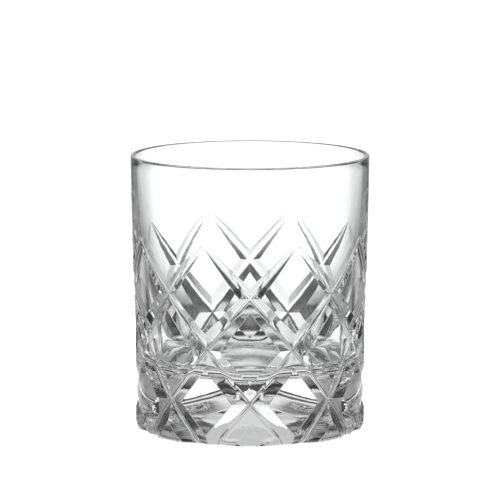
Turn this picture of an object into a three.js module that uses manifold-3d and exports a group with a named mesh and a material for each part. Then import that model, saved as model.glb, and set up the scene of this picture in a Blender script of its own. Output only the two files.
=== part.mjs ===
// A cut-glass whiskey tumbler: one heavy piece of clear crystal. A plain straight-sided blank has a
// thick floor, and a wall that thins toward a rounded lip. Wide V grooves are ground into the lower
// two thirds of its outside. They run down from eight pairs of tips, eight leaning each way, cross one
// another in a lattice of diamonds, and run out through the foot.
// Millimetres, +Z up, with the origin at the centre of the flat foot. The front faces -Y.

import * as THREE from 'three';
import { mergeVertices } from 'three/addons/utils/BufferGeometryUtils.js';
import Module from 'manifold-3d';

// Outside of the blank
const HEIGHT = 91;                // foot to lip
const RIM_RADIUS = 39.5;          // at the lip
const BODY_RADIUS = 37.85;        // over the straight lower body
const FLARE_START = 34;           // height where the straight body starts to open
const KNEE_HEIGHT = 60;           // height where the flare bends back toward upright
const KNEE_FULLNESS = 0.82;       // how much of the flare the bend has used up, 0 to 1
const FOOT_EDGE_HEIGHT = 3.2;     // how far up the foot's eased edge reaches
const FOOT_EDGE_INSET = 1.0;      // how far the eased edge pulls in at the foot

// Inside of the blank
const LIP_WALL = 1.5;             // wall at the lip, which is a full half round
const KNEE_WALL = 2.9;            // wall at the bend's control point
const BODY_WALL = 5.4;            // wall where it runs into the floor's corner
const FLOOR_THICKNESS = 20.5;     // foot to the inside floor
const FLOOR_CORNER = 6;           // radius between the wall and the inside floor

// The grooves
const CUTS_PER_HAND = 8;          // grooves leaning each way
const CUT_TOP = 65.8;             // height of the tips
const ROW_RISE = 17.4;            // height between one row of crossings and the next
const CUT_DEPTH = 2.2;            // depth that a groove tends to, far below its tip
const CUT_RUN_IN = 28;            // drop over which a groove reaches two thirds of its depth
const CUT_ANGLE = THREE.MathUtils.degToRad(128);    // between the two faces of the V
const CUT_NOSE = 2.3;             // radius that the wheel leaves at the bottom of the V
const CUT_LEAD = 3;               // the wheel starts this far above the tips, clear of the glass
const CUT_OVERRUN = 4;            // and leaves this far below the foot
const CUT_CLEARANCE = 2;          // wheel beyond the surface of the glass, at full depth

// Fineness of the facets
const STEPS_AROUND = 64;
const STEPS_FLARE = 8;
const STEPS_BORE = 9;
const STEPS_LIP = 4;
const STEPS_CORNER = 4;
const STEPS_FOOT_EDGE = 2;
const STEPS_ALONG_CUT = 18;
const STEPS_NOSE = 2;

const COLUMN_STEP = Math.PI / CUTS_PER_HAND;        // from a column of crossings to the next
const KNEE_RADIUS = THREE.MathUtils.lerp(BODY_RADIUS, RIM_RADIUS, KNEE_FULLNESS);
const LIP_ROUND = LIP_WALL / 2;
const LIP_BASE = HEIGHT - LIP_ROUND;

const flare = new THREE.QuadraticBezierCurve(
    new THREE.Vector2(BODY_RADIUS, FLARE_START),
    new THREE.Vector2(KNEE_RADIUS, KNEE_HEIGHT),
    new THREE.Vector2(RIM_RADIUS, LIP_BASE),
);

// The eased edge of the foot is an arc that leaves the straight body without a break.
function footEdge() {
    const radius = (FOOT_EDGE_HEIGHT ** 2 + FOOT_EDGE_INSET ** 2) / (2 * FOOT_EDGE_INSET);
    const sweep = Math.asin(FOOT_EDGE_HEIGHT / radius);
    const centre = BODY_RADIUS - radius;
    return new THREE.EllipseCurve(centre, FOOT_EDGE_HEIGHT, radius, radius, -sweep, 0);
}

function lip() {
    return new THREE.EllipseCurve(RIM_RADIUS - LIP_ROUND, LIP_BASE, LIP_ROUND, LIP_ROUND, 0, Math.PI);
}

function bore() {
    return new THREE.QuadraticBezierCurve(
        new THREE.Vector2(RIM_RADIUS - LIP_WALL, LIP_BASE),
        new THREE.Vector2(KNEE_RADIUS - KNEE_WALL, KNEE_HEIGHT),
        new THREE.Vector2(BODY_RADIUS - BODY_WALL, FLOOR_THICKNESS + FLOOR_CORNER),
    );
}

function floorCorner() {
    const x = BODY_RADIUS - BODY_WALL - FLOOR_CORNER;
    const y = FLOOR_THICKNESS + FLOOR_CORNER;
    return new THREE.EllipseCurve(x, y, FLOOR_CORNER, FLOOR_CORNER, 0, -Math.PI / 2, true);
}

// Half of the blank's section: from the middle of the foot, up the outside, over the lip and down
// the inside to the middle of the floor.
function blankGeometry() {
    const outline = [
        new THREE.Vector2(0, 0),
        ...footEdge().getPoints(STEPS_FOOT_EDGE),
        ...flare.getPoints(STEPS_FLARE),
        ...lip().getPoints(STEPS_LIP).slice(1),
        ...bore().getPoints(STEPS_BORE).slice(1),
        ...floorCorner().getPoints(STEPS_CORNER).slice(1),
        new THREE.Vector2(0, FLOOR_THICKNESS),
    ];
    return new THREE.LatheGeometry(outline, STEPS_AROUND).rotateX(Math.PI / 2);
}

// Outside radius at a height, read off the flare where the body is no longer straight.
function outerRadius(height) {
    if (height <= FLARE_START) return BODY_RADIUS;
    const bend = FLARE_START - 2 * KNEE_HEIGHT + LIP_BASE;
    const slope = KNEE_HEIGHT - FLARE_START;
    const along = (height - FLARE_START) / (slope + Math.sqrt(slope ** 2 + bend * (height - FLARE_START)));
    return flare.getPoint(along).x;
}

// The way that the edge of the cutting wheel takes: a helix around the glass that sinks into it.
class CutPath extends THREE.Curve {
    constructor(tipAngle, hand) {
        super();
        this.tipAngle = tipAngle;
        this.hand = hand;
    }

    angleAt(t) {
        const drop = CUT_TOP - this.heightAt(t);
        return this.tipAngle + this.hand * COLUMN_STEP * drop / ROW_RISE;
    }

    heightAt(t) {
        return THREE.MathUtils.lerp(CUT_TOP + CUT_LEAD, -CUT_OVERRUN, t);
    }

    outward(t) {
        const angle = this.angleAt(t);
        return new THREE.Vector3(Math.sin(angle), -Math.cos(angle), 0);
    }

    getPoint(t, target = new THREE.Vector3()) {
        const height = this.heightAt(t);
        const depth = CUT_DEPTH * (1 - Math.exp((height - CUT_TOP) / CUT_RUN_IN));
        return target.copy(this.outward(t)).multiplyScalar(outerRadius(height) - depth).setZ(height);
    }

    // Keeps the V square to the wall all the way down, where the usual frames would let it roll.
    computeFrenetFrames(segments) {
        const frames = { tangents: [], normals: [], binormals: [] };
        for (let i = 0; i <= segments; i++) {
            const tangent = this.getTangentAt(i / segments);
            const normal = this.outward(this.getUtoTmapping(i / segments));
            const binormal = new THREE.Vector3().crossVectors(tangent, normal).normalize();
            frames.tangents.push(tangent);
            frames.normals.push(normal);
            frames.binormals.push(binormal);
        }
        return frames;
    }
}

// The wheel's edge in section: a rounded nose that runs out into two straight flanks.
function wheelEdge() {
    const lean = (Math.PI - CUT_ANGLE) / 2;
    const nose = new THREE.EllipseCurve(
        CUT_NOSE, 0, CUT_NOSE, CUT_NOSE, Math.PI + lean, Math.PI - lean, true);
    const reach = CUT_DEPTH + CUT_CLEARANCE;
    const flankStart = CUT_NOSE * (1 - Math.cos(lean));
    const spread = CUT_NOSE * Math.sin(lean) + (reach - flankStart) / Math.tan(lean);
    return new THREE.Shape([
        new THREE.Vector2(reach, -spread),
        ...nose.getPoints(STEPS_NOSE),
        new THREE.Vector2(reach, spread),
    ]);
}

function cutGeometry(tipAngle, hand) {
    return new THREE.ExtrudeGeometry(wheelEdge(), {
        steps: STEPS_ALONG_CUT,
        extrudePath: new CutPath(tipAngle, hand),
    });
}

const wasm = await Module();
wasm.setup();

// A closed three.js geometry as a solid. Triangles that shrink to a line on the axis are left out.
function toSolid(geometry) {
    const shape = geometry.clone().deleteAttribute('normal').deleteAttribute('uv');
    const merged = mergeVertices(shape);
    const corners = merged.index.array;
    const kept = [];
    for (let i = 0; i < corners.length; i += 3) {
        const [a, b, c] = corners.slice(i, i + 3);
        if (a !== b && b !== c && c !== a) kept.push(a, b, c);
    }
    return new wasm.Manifold(new wasm.Mesh({
        numProp: 3,
        vertProperties: new Float32Array(merged.attributes.position.array),
        triVerts: new Uint32Array(kept),
    }));
}

function toGeometry(solid) {
    const mesh = solid.getMesh();
    const geometry = new THREE.BufferGeometry();
    geometry.setAttribute('position', new THREE.BufferAttribute(mesh.vertProperties, mesh.numProp));
    geometry.setIndex(new THREE.BufferAttribute(mesh.triVerts, 1));
    geometry.computeVertexNormals();
    return geometry;
}

// Tips lie midway between the columns of crossings that face the front, the sides and the back.
function grind(blank) {
    let glass = toSolid(blank);
    for (let i = 0; i < CUTS_PER_HAND; i++) {
        const tipAngle = COLUMN_STEP * (2 * i + 1);
        for (const hand of [-1, 1]) {
            glass = glass.subtract(toSolid(cutGeometry(tipAngle, hand)));
        }
    }
    return toGeometry(glass);
}

const crystal = new THREE.MeshStandardMaterial({ color: 0xf4f7f7, roughness: 0.03, metalness: 0 });

const tumbler = new THREE.Group();
const glass = new THREE.Mesh(grind(blankGeometry()), crystal);
glass.name = 'tumbler_glass';
tumbler.add(glass);

export default tumbler;
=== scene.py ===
import math
import bpy
import bmesh
import numpy as np
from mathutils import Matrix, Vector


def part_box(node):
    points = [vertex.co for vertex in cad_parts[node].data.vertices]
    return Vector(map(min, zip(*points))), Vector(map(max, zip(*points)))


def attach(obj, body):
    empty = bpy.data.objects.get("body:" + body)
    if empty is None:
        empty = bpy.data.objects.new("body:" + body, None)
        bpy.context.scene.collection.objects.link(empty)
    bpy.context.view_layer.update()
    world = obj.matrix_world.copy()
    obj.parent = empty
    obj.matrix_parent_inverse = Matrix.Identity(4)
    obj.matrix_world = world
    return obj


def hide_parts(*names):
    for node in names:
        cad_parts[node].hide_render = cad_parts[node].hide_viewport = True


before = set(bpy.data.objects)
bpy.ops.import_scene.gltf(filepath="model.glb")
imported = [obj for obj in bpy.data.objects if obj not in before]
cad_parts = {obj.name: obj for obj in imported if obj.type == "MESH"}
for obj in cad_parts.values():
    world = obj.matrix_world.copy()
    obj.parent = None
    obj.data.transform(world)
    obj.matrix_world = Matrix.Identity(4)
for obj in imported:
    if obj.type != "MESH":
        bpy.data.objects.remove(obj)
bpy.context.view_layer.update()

# --- The blank ---------------------------------------------------------------------------------
# The tumbler starts as one thick, straight-sided pressing of clear crystal. Everything about it
# that is round comes from these sizes, and its lip and foot are where the CAD solid has them.

MM = 0.001
foot_corner, lip_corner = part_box("tumbler_glass")
glass_height = lip_corner.z - foot_corner.z
rim_radius = lip_corner.x
body_radius = 37.85 * MM
flare_start = 34 * MM
knee_height = 60 * MM             # where the flare bends back toward upright
knee_fullness = 0.82              # share of the flare that the bend has used up
knee_radius = body_radius + knee_fullness * (rim_radius - body_radius)
lip_wall = 1.5 * MM
knee_wall = 2.9 * MM
body_wall = 5.4 * MM
floor_thickness = 20.5 * MM
floor_corner = 6 * MM
foot_edge_height = 3.2 * MM
foot_edge_inset = 1.0 * MM
past_foot = 1.2                   # how far the eased edge is carried on below the foot, for trimming
lip_round = lip_wall / 2
lip_base = glass_height - lip_round


def bezier(t, start, pull, end):
    return (1 - t) ** 2 * start + 2 * t * (1 - t) * pull + t ** 2 * end


def outside_radius(z):
    """How far out the uncut blank reaches at height z, with the foot's eased edge taken in."""
    bend = flare_start - 2 * knee_height + lip_base
    rise = knee_height - flare_start
    above = np.maximum(z - flare_start, 0)
    t = above / (rise + np.sqrt(rise ** 2 + bend * above))
    edge = (foot_edge_height ** 2 + foot_edge_inset ** 2) / (2 * foot_edge_inset)
    below = np.clip(foot_edge_height - z, 0, foot_edge_height * past_foot)
    return bezier(t, body_radius, knee_radius, rim_radius) - (edge - np.sqrt(edge ** 2 - below ** 2))


# --- The grooves -------------------------------------------------------------------------------
# Eight wide V grooves lean each way, ground with a wheel whose edge sinks in as the cut runs down.
# The mesh is woven along the grooves, so their bottoms, their edges and the ridges stay crisp.

groove_columns = 16               # crossings around the glass, counted over two rows
column_step = 2 * math.pi / groove_columns
groove_top = 65.8 * MM
row_rise = 17.4 * MM
groove_depth = 2.2 * MM
groove_run_in = 28 * MM
groove_lean = math.radians((180 - 128) / 2)
groove_nose = 2.3 * MM
nose_half = groove_nose * math.sin(groove_lean)
nose_height = groove_nose * (1 - math.cos(groove_lean))
plain_start = 74 * MM             # the weave ends here, and the plain upper wall takes over
trim_weld = 0.03 * MM             # vertices that a trim leaves closer than this become one
edge_half = 0.20 * MM             # half width of the strip that carries a polished edge
edge_round = 0.07 * MM            # how softly the polish rounds that edge
nose_strands, flank_strands, edge_strands, face_strands = 5, 5, 4, 8
strands = nose_strands + flank_strands + edge_strands + face_strands
weave_settles = 30                # passes that bring the strands to their crossings


def depth_at(row):
    return groove_depth * (1 - np.exp(-np.maximum(row, 0) * row_rise / groove_run_in))


def across(z):
    """Distance square across a groove for each column that a point lies to its side."""
    arc_step = outside_radius(np.maximum(z, foot_edge_height)) * column_step
    return arc_step * row_rise / np.hypot(row_rise, arc_step)


def half_width(depth):
    """Half the width of a groove ground to a depth: the wheel's round nose, then its flanks."""
    on_nose = np.sqrt(groove_nose ** 2 - (groove_nose - np.minimum(depth, nose_height)) ** 2)
    return on_nose + np.maximum(depth - nose_height, 0) / math.tan(groove_lean)


def strand(index, row):
    """Which groove a strand is nearest to, and how many columns it lies to the groove's side."""
    local = (index + strands) % (2 * strands) - strands
    step = np.abs(local)
    scale = across(groove_top - row * row_rise)
    rim = np.maximum(half_width(depth_at(row)), 3 * edge_half)
    nose = np.minimum(nose_half, 0.5 * rim)
    stops = [0, nose, rim - edge_half, rim + edge_half, scale]
    counts = (nose_strands, flank_strands, edge_strands, face_strands)
    aside, first = 0, 0
    for count, start, end in zip(counts, stops, stops[1:]):
        share = np.minimum((step - first) / count, 1)
        aside = np.where(step > first, start + (end - start) * share, aside)
        first += count
    return (index - local) / strands, np.sign(local) * aside / scale


first_row = math.floor((groove_top - plain_start) / row_rise * 2 * strands) - 2 * strands
last_row = math.ceil(groove_top / row_rise * 2 * strands) + strands
weave = groove_columns * strands
level, lane = np.meshgrid(np.arange(first_row, last_row), np.arange(weave), indexing="ij")
row = level / (2 * strands)
for _ in range(weave_settles):
    groove_u, side_u = strand(lane, row)
    groove_v, side_v = strand(lane - level, row)
    row = (groove_u + side_u - groove_v - side_v) / 2
column = (groove_u + side_u + groove_v + side_v) / 2
z = groove_top - row * row_rise


def groove_cut(side):
    """How deep one groove reaches below the blank; negative where it passes above the surface."""
    y = np.abs(side) * across(z)
    on_nose = groove_nose - np.sqrt(groove_nose ** 2 - np.minimum(y, nose_half) ** 2)
    return depth_at(row) - on_nose - np.maximum(y - nose_half, 0) * math.tan(groove_lean)


cut = np.maximum(groove_cut(side_u), groove_cut(side_v))
eased = (np.maximum(cut, -edge_round) + edge_round) ** 2 / (4 * edge_round)
cut = np.where(cut > edge_round, cut, eased) * (row > 0)
radius = outside_radius(z) - cut
angle = (column + 1) * column_step
points = np.stack([radius * np.sin(angle), -radius * np.cos(angle), z], axis=-1).reshape(-1, 3)
vertex_number = np.arange(points.shape[0]).reshape(last_row - first_row, weave)


def node(level_index, lane_index):
    """The vertex at a level and lane; the weave closes on itself around the glass."""
    return vertex_number[level_index, lane_index % weave]


down, over = np.meshgrid(np.arange(1, last_row - first_row - 1), np.arange(weave), indexing="ij")
start, low = node(down, over), node(down + 1, over + 1)
far, high = node(down, over + 1), node(down - 1, over)
leans_u = (over + strands) % (2 * strands) >= strands
leans_v = (over - (down + first_row) + strands) % (2 * strands) >= strands
same = (leans_u == leans_v)[..., None]
one = np.where(same, np.stack([start, low, far], -1), np.stack([start, low, high], -1))
two = np.where(same, np.stack([start, far, high], -1), np.stack([low, far, high], -1))
faces = np.concatenate([one.reshape(-1, 3), two.reshape(-1, 3)])

wall = bpy.data.meshes.new("tumbler")
wall.from_pydata(points.tolist(), [], faces.tolist())
ground = wall.attributes.new("ground", "FLOAT", "POINT")
ground.data.foreach_set("value", np.clip(cut / edge_round, 0, 1).ravel())
bm = bmesh.new()
bm.from_mesh(wall)


def trim(height, **side):
    """Cuts the weave level at a height and clears what lies beyond."""
    bmesh.ops.bisect_plane(bm, geom=bm.verts[:] + bm.edges[:] + bm.faces[:], dist=1e-6,
                           plane_co=(0, 0, height), plane_no=(0, 0, 1), **side)


trim(plain_start, clear_outer=True)
trim(0, clear_inner=True)
at_the_trims = [v for v in bm.verts if v.co.z > plain_start - MM or v.co.z < MM]
bmesh.ops.remove_doubles(bm, verts=at_the_trims, dist=trim_weld)

# --- The lip and the inside --------------------------------------------------------------------
# The lip is melted to a full half round. The inside is as the plunger left it: a wall that
# thickens downward, a rounded corner and a flat floor, with faint waves in the glass.

lathe_steps = 240
upper_rings, lip_steps, bore_steps, corner_steps, floor_rings = 6, 10, 28, 20, 24
zip_gap = 0.6 * MM                # from the weave's trimmed edge to the first plain ring
floor_middle = 0.03               # radius of the innermost ring, as a share of the flat floor's
crisp_edge = math.radians(24)     # faces that meet at more than this stay crisp
ripple_height = 0.028 * MM
ripple_top = 56 * MM
inner_body = body_radius - body_wall
floor_reach = inner_body - floor_corner


def arc(centre_x, centre_z, radius, start, end, steps):
    angle = np.radians(np.linspace(start, end, steps + 1))
    return np.column_stack([centre_x + radius * np.cos(angle), centre_z + radius * np.sin(angle)])


upper_heights = np.linspace(plain_start + zip_gap, lip_base, upper_rings)
upper_outside = [[outside_radius(h), h] for h in upper_heights]
t = np.linspace(0, 1, bore_steps + 1)
bore = np.column_stack([
    bezier(t, rim_radius - lip_wall, knee_radius - knee_wall, inner_body),
    bezier(t, lip_base, knee_height, floor_thickness + floor_corner),
])
section = np.concatenate([
    upper_outside,
    arc(rim_radius - lip_round, lip_base, lip_round, 0, 180, lip_steps)[1:],
    bore[1:],
    arc(floor_reach, floor_thickness + floor_corner, floor_corner, 0, -90, corner_steps)[1:],
    [[share * floor_reach, floor_thickness] for share in np.linspace(1, floor_middle, floor_rings)[1:]],
])
along = np.gradient(section, axis=0)
into_glass = np.column_stack([-along[:, 1], along[:, 0]]) / np.hypot(*along.T)[:, None]


def press_ripple(x, y, z):
    """How far a faint wave stands out of the inside at a point, fading out toward the lip."""
    x, y, z, depth = x / MM, y / MM, z / MM, (ripple_top - z) / ripple_top
    waves = np.sin(0.75 * y + 1.7 * np.sin(0.21 * x)) + 0.6 * np.sin(0.43 * x + 0.9 * y + 2)
    waves += 0.5 * np.sin(1.1 * z + 0.3 * x)
    return ripple_height * waves * np.clip(depth * 2, 0, 1) ** 2


around = np.linspace(-math.pi, math.pi, lathe_steps, endpoint=False)
rings = []
for (r, h), (outward, upward) in zip(section, into_glass):
    push = press_ripple(r * np.cos(around), r * np.sin(around), h)
    ring_r, ring_h = r - outward * push, h - upward * push
    ring = np.column_stack([ring_r * np.cos(around), ring_r * np.sin(around), ring_h])
    rings.append([bm.verts.new(corner) for corner in ring])
for outer, inner in zip(rings, rings[1:]):
    for n in range(lathe_steps):
        after = (n + 1) % lathe_steps
        bm.faces.new([outer[n], outer[after], inner[after], inner[n]])
bm.faces.new(rings[-1])


def turn_of(vertex):
    return math.atan2(vertex.co.y, vertex.co.x)


def open_loop(height):
    """The free edge of the weave at a height, in order around the glass."""
    free = {v for e in bm.edges if e.is_boundary for v in e.verts}
    return sorted((v for v in free if abs(v.co.z - height) < 0.1 * MM), key=turn_of)


def turn_at(loop, n):
    return turn_of(loop[n % len(loop)]) + 2 * math.pi * (n // len(loop))


def zip_loops(a, b):
    """Joins two loops of unlike counts, both in order around the glass, with triangles."""
    m, n = 0, 0
    while m < len(a) or n < len(b):
        on_a, on_b = a[m % len(a)], b[n % len(b)]
        if n == len(b) or (m < len(a) and turn_at(a, m + 1) <= turn_at(b, n + 1)):
            m += 1
            bm.faces.new([on_a, a[m % len(a)], on_b])
        else:
            n += 1
            bm.faces.new([on_a, b[n % len(b)], on_b])


zip_loops(open_loop(plain_start), rings[0])
bm.faces.new(open_loop(0)[::-1])
bm.normal_update()
bmesh.ops.triangulate(bm, faces=[f for f in bm.faces if len(f.verts) > 4])
bm.to_mesh(wall)
bm.free()
wall.polygons.foreach_set("use_smooth", [True] * len(wall.polygons))
wall.set_sharp_from_angle(angle=crisp_edge)
tumbler = bpy.data.objects.new("cut_tumbler", wall)
bpy.context.scene.collection.objects.link(tumbler)

# --- The crystal -------------------------------------------------------------------------------
# Clear lead-free crystal. The plain surfaces are fire-polished and nearly perfect. The ground
# faces of the grooves were polished afterwards, and keep a fine unevenness and a trace of haze.

crystal = bpy.data.materials.new("clear_crystal")
crystal.use_nodes = True
tree = crystal.node_tree
glass = tree.nodes["Principled BSDF"]
glass.inputs["Base Color"].default_value = (0.985, 0.99, 0.99, 1)
glass.inputs["IOR"].default_value = 1.52
glass.inputs["Transmission Weight"].default_value = 1.0

mark = tree.nodes.new("ShaderNodeAttribute")
mark.attribute_name = "ground"
spot = tree.nodes.new("ShaderNodeTexCoord")
unevenness = tree.nodes.new("ShaderNodeTexNoise")
unevenness.inputs["Scale"].default_value = 320
unevenness.inputs["Detail"].default_value = 2
tree.links.new(spot.outputs["Object"], unevenness.inputs["Vector"])


def by_finish(fire_polished, ground):
    """A value that differs between the fire-polished surfaces and the ground ones."""
    made = tree.nodes.new("ShaderNodeMapRange")
    made.inputs["To Min"].default_value = fire_polished
    made.inputs["To Max"].default_value = ground
    tree.links.new(mark.outputs["Fac"], made.inputs["Value"])
    return made.outputs["Result"]


relief = tree.nodes.new("ShaderNodeBump")
relief.inputs["Distance"].default_value = 0.05 * MM
tree.links.new(unevenness.outputs["Fac"], relief.inputs["Height"])
tree.links.new(by_finish(0.12, 1.0), relief.inputs["Strength"])
tree.links.new(relief.outputs["Normal"], glass.inputs["Normal"])
tree.links.new(by_finish(0.0, 0.012), glass.inputs["Roughness"])


def mix_shaders(tree, chooser, first, second):
    """The first shader, or the second where the chooser is 1, sent to the tree's output."""
    mix = tree.nodes.new("ShaderNodeMixShader")
    for socket, source in zip(mix.inputs, (chooser, first.outputs[0], second.outputs[0])):
        tree.links.new(source, socket)
    ends = next(n for n in tree.nodes if n.type in ("OUTPUT_MATERIAL", "OUTPUT_WORLD"))
    tree.links.new(mix.outputs[0], ends.inputs["Surface"])


ray = tree.nodes.new("ShaderNodeLightPath")
mix_shaders(tree, ray.outputs["Is Shadow Ray"], glass, tree.nodes.new("ShaderNodeBsdfTransparent"))
wall.materials.append(crystal)

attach(tumbler, "root")
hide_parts("tumbler_glass")

# --- The studio --------------------------------------------------------------------------------
# A pale floor and a wide soft light overhead. White panels with black cards between them stand
# around the glass as brightness in the world and as painted glow on the floor. Only what the glass
# bends or reflects shows them.

white_panel = 1.17                # brightness of the panels
black_card = 0.035                # and of the cards between them
quarter = math.pi / 2


class Sums:
    """Writes sums as nodes, so that one formula serves the wall of the studio and its floor."""

    def __init__(self, tree):
        self.tree = tree

    def do(self, operation, *values):
        made = self.tree.nodes.new("ShaderNodeMath")
        made.operation = operation
        for socket, value in zip(made.inputs, values):
            if isinstance(value, bpy.types.NodeSocket):
                self.tree.links.new(value, socket)
            else:
                socket.default_value = value
        return made.outputs[0]

    def product(self, *values):
        total = values[0]
        for value in values[1:]:
            total = self.do("MULTIPLY", total, value)
        return total

    def brightest(self, *values):
        total = values[0]
        for value in values[1:]:
            total = self.do("MAXIMUM", total, value)
        return total

    def fade(self, angle, start, end, at_start, at_end):
        """Goes smoothly from one value to another between two angles given in degrees."""
        made = self.tree.nodes.new("ShaderNodeMapRange")
        made.interpolation_type = "SMOOTHSTEP"
        self.tree.links.new(angle, made.inputs["Value"])
        made.inputs["From Min"].default_value = math.radians(start)
        made.inputs["From Max"].default_value = math.radians(end)
        made.inputs["To Min"].default_value = at_start
        made.inputs["To Max"].default_value = at_end
        return made.outputs["Result"]


def studio_brightness(tree, direction):
    """How bright the studio is in a direction from the glass.

    It goes by three angles: height above the level of the glass, away from straight ahead, and
    aside from the nearest of ahead, left, right and behind.
    """
    sums = Sums(tree)
    unit = tree.nodes.new("ShaderNodeVectorMath")
    unit.operation = "NORMALIZE"
    tree.links.new(direction, unit.inputs[0])
    split = tree.nodes.new("ShaderNodeSeparateXYZ")
    tree.links.new(unit.outputs[0], split.inputs[0])
    x, y, z = split.outputs
    turn = sums.do("ARCTAN2", x, y)
    away = sums.do("ABSOLUTE", turn)
    height = sums.do("ARCSINE", z)
    aside = sums.do("FLOORED_MODULO", sums.do("ADD", turn, quarter / 2), quarter)
    aside = sums.do("ABSOLUTE", sums.do("SUBTRACT", aside, quarter / 2))

    # Upright panels ahead, behind and to either side. Their feet are cut to a curve, and the one
    # ahead is tall.
    ahead = sums.fade(away, 30, 40, 1, 0)
    curved_foot = sums.fade(sums.do("MULTIPLY_ADD", aside, -0.2, height), -18, -12.5, 0, 1)
    top = sums.brightest(ahead, sums.fade(height, 3, 14, 1, 0))
    upright = sums.product(sums.fade(aside, 9, 35, 1, 0), curved_foot, top)

    # Panels that lie low on the diagonals. The tops of the two ahead are 10 degrees lower than
    # those of the two behind.
    raised = sums.do("ADD", height, sums.fade(away, 80, 100, math.radians(10), 0))
    lying = sums.product(sums.fade(aside, 20, 34, 0, 1), sums.fade(raised, -12.5, -8.5, 1, 0),
                         sums.fade(height, -44, -34, 0, 1))
    panels = sums.product(sums.brightest(upright, lying), sums.fade(height, -6, 3, 1, 0.62))

    # What spills past them: a dim band level with the glass, a soft patch in each corner, the
    # ceiling, the upper part of the wall ahead, and low strips of light, a painted reflection of lamps
    # in a tabletop.
    level = sums.product(sums.fade(height, -13, -9, 0, 0.27), sums.fade(height, 0, 6, 1, 0))
    corner = sums.product(sums.fade(aside, 33, 42, 0, 0.42), sums.fade(height, -13, -10, 1, 0),
                          sums.fade(height, -26, -22, 0, 1))
    ceiling = sums.fade(height, 25, 60, 0, 0.45)
    high_ahead = sums.product(ahead, sums.fade(height, 16, 24, 0, 0.8))
    strips = sums.do("SINE", sums.do("MULTIPLY_ADD", height, 24, sums.product(away, 2)))
    strips = sums.do("MULTIPLY_ADD", strips, 0.42, 0.36)
    below = sums.product(sums.fade(height, -26, -20, 1, 0), strips)
    lit = sums.brightest(panels, level, corner, ceiling, high_ahead, below)
    return sums.do("MULTIPLY_ADD", lit, white_panel - black_card, black_card)


def show_by_ray(tree, plain, panels):
    """Plain to the camera and to lamps, and the panels to what the glass bends or reflects."""
    ray = tree.nodes.new("ShaderNodeLightPath")
    bent = Sums(tree).brightest(ray.outputs["Is Transmission Ray"], ray.outputs["Is Glossy Ray"])
    mix_shaders(tree, bent, plain, panels)


floor_half = 30.0
floor_drop = 0.2 * MM             # keeps the floor clear of the foot
floor_mesh = bpy.data.meshes.new("studio_floor")
floor_mesh.from_pydata([(-floor_half, -floor_half, -floor_drop), (floor_half, -floor_half, -floor_drop),
                        (floor_half, floor_half, -floor_drop), (-floor_half, floor_half, -floor_drop)],
                       [], [(0, 1, 2, 3)])
studio_floor = bpy.data.objects.new("studio_floor", floor_mesh)
bpy.context.scene.collection.objects.link(studio_floor)

pale = bpy.data.materials.new("pale_floor_painted_studio_glow")
pale.use_nodes = True
tree = pale.node_tree
board = tree.nodes["Principled BSDF"]
board.inputs["Base Color"].default_value = (0.9, 0.9, 0.9, 1)
board.inputs["Roughness"].default_value = 1.0
board.inputs["Specular IOR Level"].default_value = 0.0
place = tree.nodes.new("ShaderNodeNewGeometry")
from_glass = tree.nodes.new("ShaderNodeVectorMath")
from_glass.operation = "SUBTRACT"
from_glass.inputs[1].default_value = (0, 0, glass_height / 2)
tree.links.new(place.outputs["Position"], from_glass.inputs[0])
# Painted light: to rays that the glass bends or reflects, the floor glows with the studio's panels,
# cards and strips. To the camera and to lamps it stays a plain pale floor.
panels = tree.nodes.new("ShaderNodeEmission")
tree.links.new(studio_brightness(tree, from_glass.outputs[0]), panels.inputs["Strength"])
show_by_ray(tree, board, panels)
floor_mesh.materials.append(pale)

lamp = bpy.data.lights.new("overhead_softbox", "AREA")
lamp.shape = "SQUARE"
lamp.size = 1.0
lamp.energy = 14
softbox = bpy.data.objects.new("overhead_softbox", lamp)
softbox.location = (0, 0, 1.2)
bpy.context.scene.collection.objects.link(softbox)
softbox.visible_glossy = False
softbox.visible_transmission = False

world = bpy.data.worlds.new("studio")
world.use_nodes = True
tree = world.node_tree
plain = tree.nodes["Background"]
plain.inputs["Color"].default_value = (1, 1, 1, 1)
plain.inputs["Strength"].default_value = 1.1
panels = tree.nodes.new("ShaderNodeBackground")
where = tree.nodes.new("ShaderNodeTexCoord")
tree.links.new(studio_brightness(tree, where.outputs["Generated"]), panels.inputs["Strength"])
show_by_ray(tree, plain, panels)
bpy.context.scene.world = world

camera_drop = 8.13                # degrees that the camera looks down
camera_data = bpy.data.cameras.new("camera")
camera_data.sensor_width = 36
camera_data.lens = 320.4
camera_data.clip_end = 50
camera = bpy.data.objects.new("camera", camera_data)
camera.location = (0, -1.456, 0.267)
camera.rotation_euler = (math.radians(90 - camera_drop), 0, 0)
bpy.context.scene.collection.objects.link(camera)
bpy.context.scene.camera = camera

scene = bpy.context.scene
scene.view_settings.view_transform = "Standard"
scene.cycles.max_bounces = 32
scene.cycles.transmission_bounces = 32
scene.cycles.glossy_bounces = 16
scene.cycles.transparent_max_bounces = 16
scene.cycles.caustics_refractive = False
scene.cycles.caustics_reflective = False
